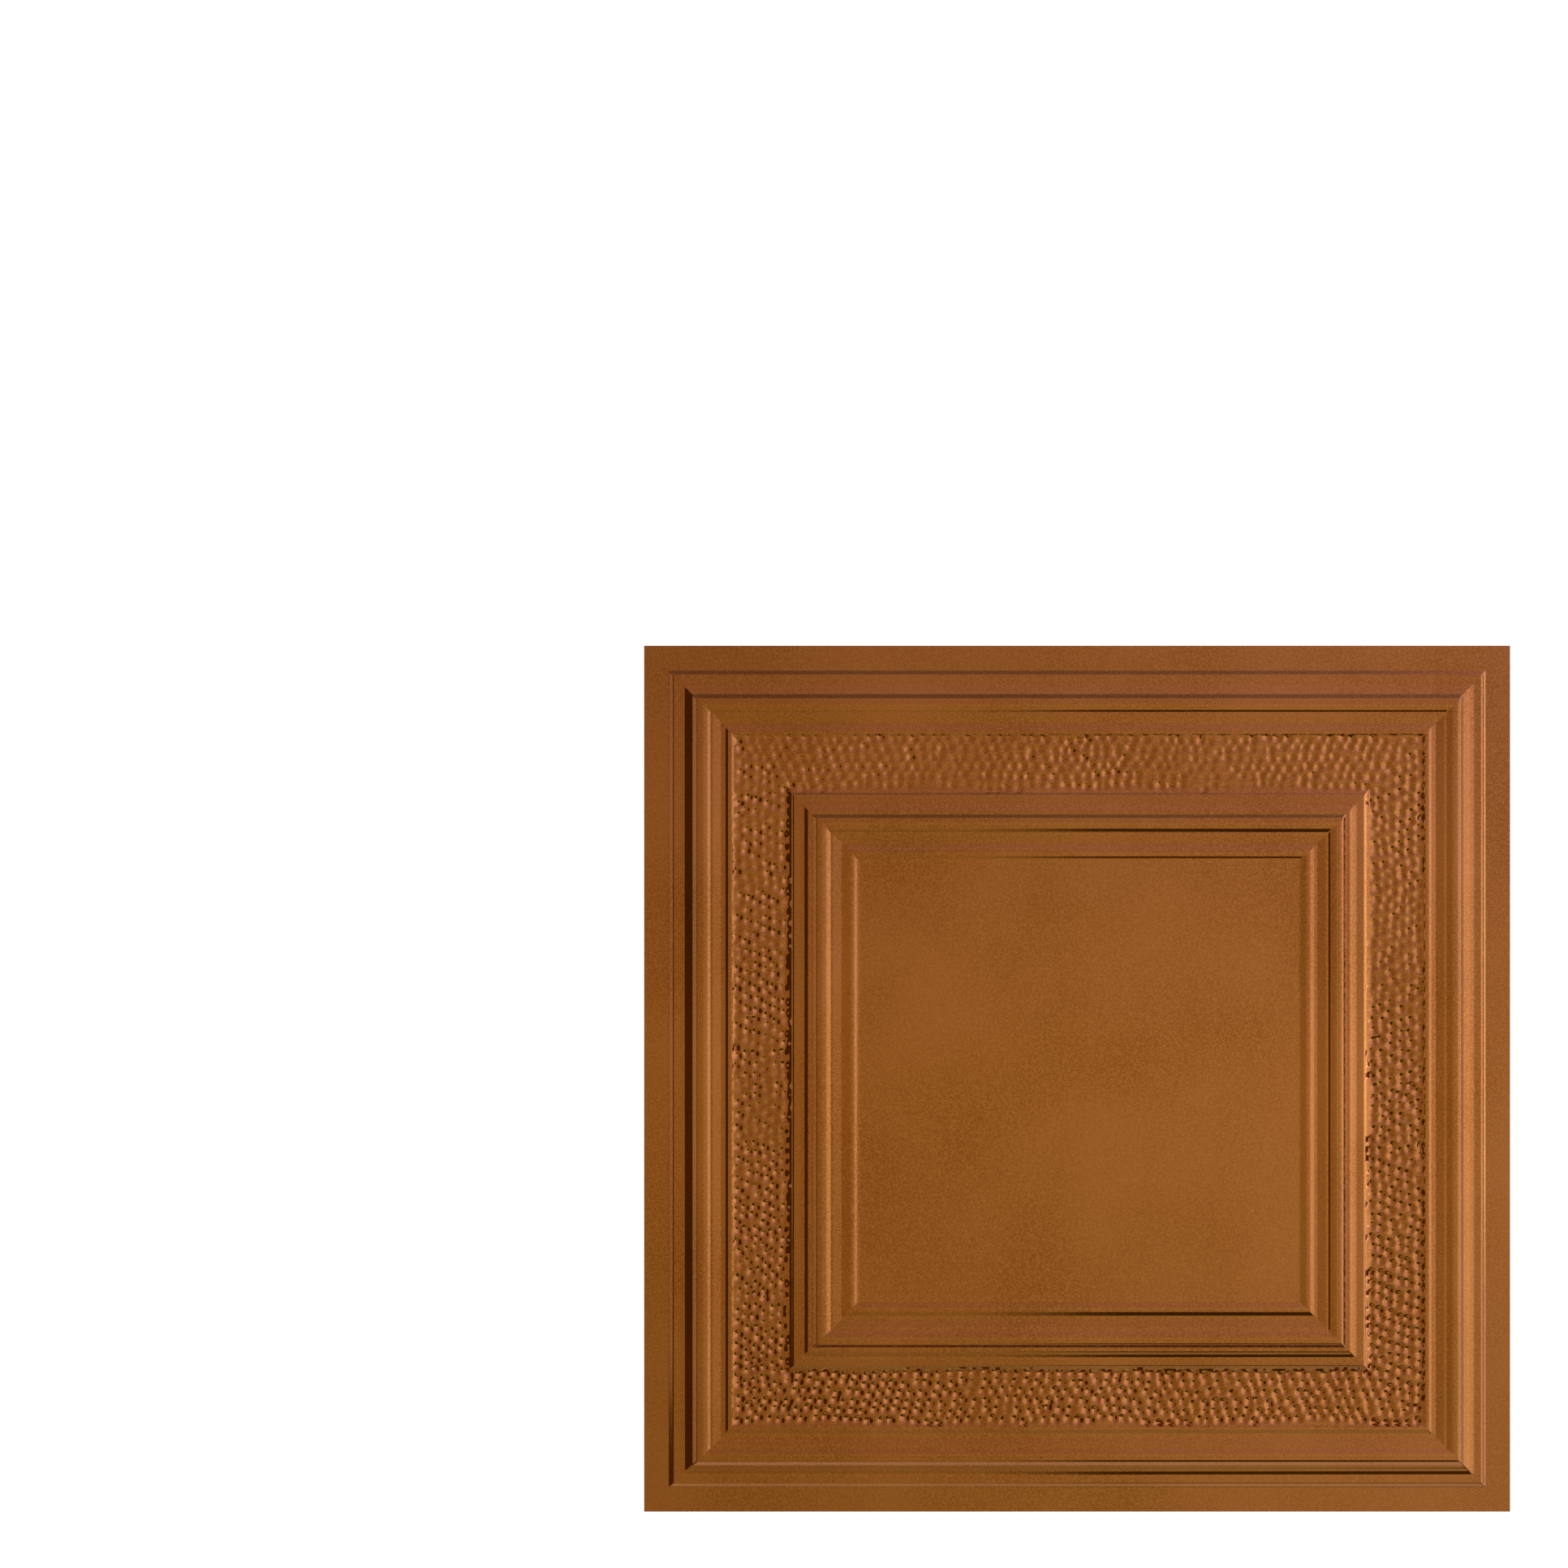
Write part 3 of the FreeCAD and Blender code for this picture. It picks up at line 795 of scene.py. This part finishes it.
class TILE_OT_set_stage(Operator):
    """Set the floor, the light tent and the camera round the tile"""
    bl_idname = "tile.set_stage"
    bl_label = "Set the stage"

    def execute(self, context):
        stage = context.scene.tile_stage
        floor = link("floor", self.square(stage.floor_side / 2))
        floor.data.materials.append(self.floor_paper())
        tent = link("light_tent", self.half_ball(stage.tent_radius))
        tent.data.materials.append(tent_cloth())
        tent.visible_camera = False
        self.set_world(context)
        self.set_camera(context, stage)
        context.scene.view_settings.view_transform = "Standard"
        return {"FINISHED"}

    def square(self, half):
        """The floor, just clear of the tile's back."""
        under = -0.2 * MM
        corners = [(-half, -half, under), (half, -half, under), (half, half, under), (-half, half, under)]
        mesh = bpy.data.meshes.new("floor")
        mesh.from_pydata(corners, [], [(0, 1, 2, 3)])
        return mesh

    def half_ball(self, radius):
        """A half ball with its hollow side to the tile."""
        around, up = 64, 16
        vertices = [(0.0, 0.0, radius)]
        for i in range(1, up + 1):
            lean = math.pi / 2 * i / up
            out = radius * math.sin(lean)
            for k in range(around):
                turn = 2 * math.pi * k / around
                vertices.append((out * math.cos(turn), out * math.sin(turn), radius * math.cos(lean)))
        faces = [(0, 1 + (k + 1) % around, 1 + k) for k in range(around)]
        for i in range(up - 1):
            for k in range(around):
                a, b = 1 + i * around + k, 1 + i * around + (k + 1) % around
                faces.append((a, b, b + around, a + around))
        mesh = bpy.data.meshes.new("light_tent")
        mesh.from_pydata(vertices, [], faces)
        return mesh

    def floor_paper(self):
        """White paper: matt, and white to the camera and in reflections, with the tile's shadow kept."""
        material, add = start_material("white_paper")
        path = add("ShaderNodeLightPath").outputs
        reflected = add(MATHS, [path["Is Camera Ray"], path["Is Glossy Ray"]], operation="MAXIMUM")
        seen = add(MATHS, [reflected, path["Is Transmission Ray"]], operation="MAXIMUM")
        share = add(MATHS, [seen, PAPER_GLOW_SHARE], operation="MULTIPLY")
        paper = add("ShaderNodeBsdfDiffuse", {"Color": (0.9, 0.9, 0.9, 1.0)})
        glow = add("ShaderNodeEmission", {"Color": (1.0, 1.0, 1.0, 1.0), "Strength": PAPER_GLOW})
        both = add("ShaderNodeMixShader", [share, paper, glow])
        add("ShaderNodeOutputMaterial", {"Surface": both})
        # The glow is only for the camera and reflections, so no ray has to be aimed at it.
        material.cycles.emission_sampling = "NONE"
        return material

    def set_world(self, context):
        world = bpy.data.worlds.new("white_room")
        world.use_nodes = True
        world.node_tree.nodes["Background"].inputs["Color"].default_value = (1.0, 1.0, 1.0, 1.0)
        context.scene.world = world

    def set_camera(self, context, stage):
        """Straight above, with the tile where the picture has it."""
        side = SHEET_HIGH[0] - SHEET_LOW[0]
        pixel = side / (stage.tile_right - stage.tile_left)
        tile_x = (stage.tile_left + stage.tile_right - stage.picture_side) / 2 * pixel
        tile_y = -(stage.tile_top + stage.tile_bottom - stage.picture_side) / 2 * pixel
        data = bpy.data.cameras.new("camera")
        data.lens = data.sensor_width * stage.camera_height / (stage.picture_side * pixel)
        data.clip_end = 10 * stage.camera_height
        camera = link("camera", data)
        camera.location = (-tile_x, -tile_y, stage.camera_height)
        context.scene.camera = camera


class TILE_PT_tile(Panel):
    """Buttons and sizes of the ceiling tile"""
    bl_idname = "TILE_PT_tile"
    bl_label = "Ceiling tile"
    bl_space_type = "VIEW_3D"
    bl_region_type = "UI"
    bl_category = "Tile"

    def draw(self, context):
        layout = self.layout
        layout.operator("tile.press_sheet")
        layout.operator("tile.set_stage")
        for name in GROUPS:
            box = layout.box()
            group = getattr(context.scene, name)
            for field in group.__annotations__:
                box.prop(group, field)


GROUPS = {
    "tile_sheet": SheetSizes,
    "tile_outer_moulding": OuterMoulding,
    "tile_inner_moulding": InnerMoulding,
    "tile_hammer": HammerSizes,
    "tile_finish": FinishColours,
    "tile_stage": StageSizes,
}
CLASSES = (*GROUPS.values(), TILE_OT_press_sheet, TILE_OT_set_stage, TILE_PT_tile)


def register():
    for made in CLASSES:
        bpy.utils.register_class(made)
    for name, group in GROUPS.items():
        setattr(bpy.types.Scene, name, PointerProperty(type=group))


def unregister():
    for name in GROUPS:
        delattr(bpy.types.Scene, name)
    for made in reversed(CLASSES):
        bpy.utils.unregister_class(made)


def main():
    register()
    bpy.ops.tile.press_sheet()
    bpy.ops.tile.set_stage()


if __name__ == "__main__":
    main()
